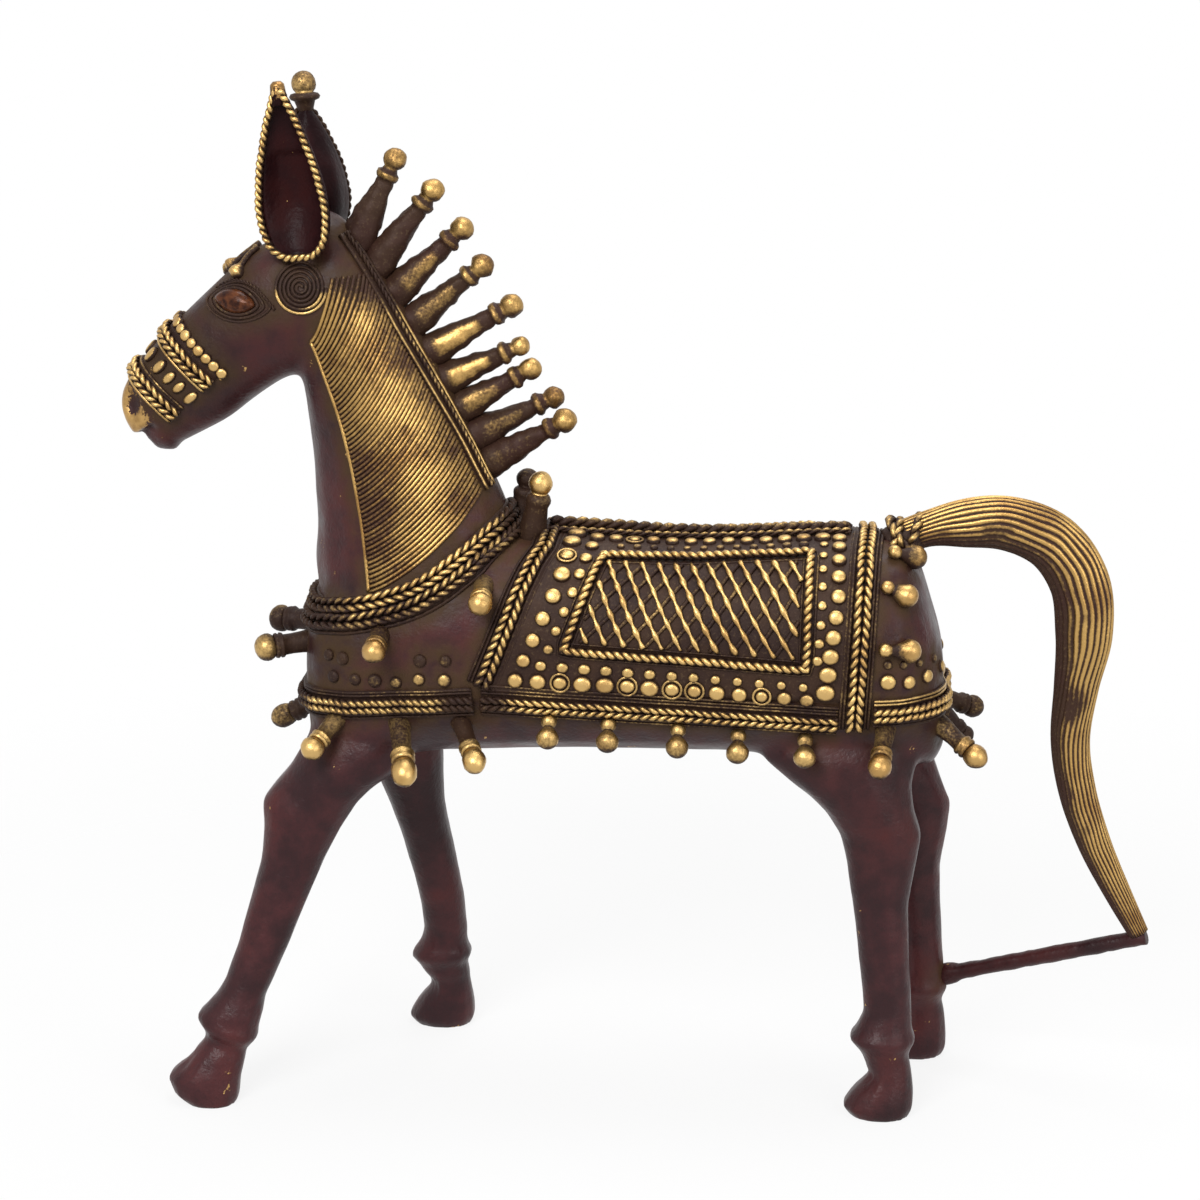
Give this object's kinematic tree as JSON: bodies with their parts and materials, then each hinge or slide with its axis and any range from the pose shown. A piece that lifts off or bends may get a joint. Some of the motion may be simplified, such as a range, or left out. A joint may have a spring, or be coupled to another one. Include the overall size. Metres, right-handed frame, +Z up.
{
  "type": "horse figurine",
  "caption": "Walking horse cast in brass over a clay core, with braided bands, a studded saddle cloth, wound neck wires, mane spikes, bell pegs and a braced tail.",
  "frame": {"origin": "middle of the bounding box on the ground under the hooves", "axes": "+X towards the tail, -X towards the head, -Y to the horse's left, +Z up"},
  "size_m": [0.2583, 0.0752, 0.2544],
  "materials": {
    "patina": "dark brown-plum patina, semi-gloss",
    "rubbed_brass": "rubbed bright on the high points, brown in the grooves",
    "baked_clay": "unglazed, baked"
  },
  "bodies": {
    "root": {"torso": "patina", "neck": "patina", "head": "patina", "front_left_leg": "patina", "front_right_leg": "patina", "hind_left_leg": "patina", "hind_right_leg": "patina", "left_ear": "patina", "right_ear": "patina", "left_eye": "patina", "right_eye": "patina", "left_cheek_spiral": "patina", "right_cheek_spiral": "patina", "left_mane_edging": "patina", "right_mane_edging": "patina", "saddle_cloth": "patina", "tail_ring": "patina", "tail_brace": "patina", "tail": "rubbed_brass", "left_ear_rope": "rubbed_brass", "right_ear_rope": "rubbed_brass", "right_ear_knob": "rubbed_brass", "forelock": "rubbed_brass", "upper_noseband": "rubbed_brass", "lower_noseband": "rubbed_brass", "left_neck_winding": "rubbed_brass", "right_neck_winding": "rubbed_brass", "mane_spike_1": "rubbed_brass", "mane_spike_2": "rubbed_brass", "mane_spike_3": "rubbed_brass", "mane_spike_4": "rubbed_brass", "mane_spike_5": "rubbed_brass", "mane_spike_6": "rubbed_brass", "mane_spike_7": "rubbed_brass", "mane_spike_8": "rubbed_brass", "mane_spike_9": "rubbed_brass", "collar": "rubbed_brass", "front_border": "rubbed_brass", "rear_border": "rubbed_brass", "left_lattice": "rubbed_brass", "right_lattice": "rubbed_brass", "left_panel_rope": "rubbed_brass", "right_panel_rope": "rubbed_brass", "spine_rope": "rubbed_brass", "left_hem": "rubbed_brass", "right_hem": "rubbed_brass", "breast_band": "rubbed_brass", "rump_band": "rubbed_brass", "left_chest_peg": "rubbed_brass", "right_chest_peg": "rubbed_brass", "left_shoulder_peg": "rubbed_brass", "right_shoulder_peg": "rubbed_brass", "left_withers_side_peg": "rubbed_brass", "right_withers_side_peg": "rubbed_brass", "left_withers_peg": "rubbed_brass", "right_withers_peg": "rubbed_brass", "clay_core": "baked_clay"}
  },
  "joints": []
}
